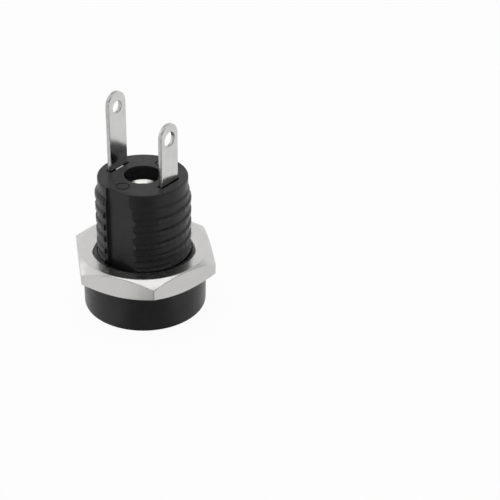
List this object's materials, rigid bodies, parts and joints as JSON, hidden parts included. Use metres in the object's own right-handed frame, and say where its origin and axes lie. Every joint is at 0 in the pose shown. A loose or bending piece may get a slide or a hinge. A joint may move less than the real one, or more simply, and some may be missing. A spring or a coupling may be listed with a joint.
{
  "type": "dc barrel jack",
  "caption": "Panel-mount DC barrel jack: round flange with a metal face ring, threaded barrel with flats, hexagon nut, centre pin and solder tabs.",
  "frame": {"origin": "centre of the front face, on the surface the jack stands on", "axes": "+Z from the front face to the solder tabs, X through both solder tabs, the flats of the thread face +Y and -Y"},
  "size_m": [0.0166, 0.0168, 0.0255],
  "materials": {
    "black_plastic": "semi-gloss moulded thermoplastic",
    "ring_nickel": "polished nickel plate",
    "nut_nickel": "nickel plate, slightly soft",
    "pin_nickel": "polished nickel plate",
    "tab_tin": "tin-plated sheet brass"
  },
  "bodies": {
    "root": {"housing": "black_plastic", "face_ring": "ring_nickel", "centre_pin": "pin_nickel", "pin_terminal": "tab_tin", "sleeve_contact": "tab_tin", "hex_nut": "nut_nickel"}
  },
  "joints": []
}
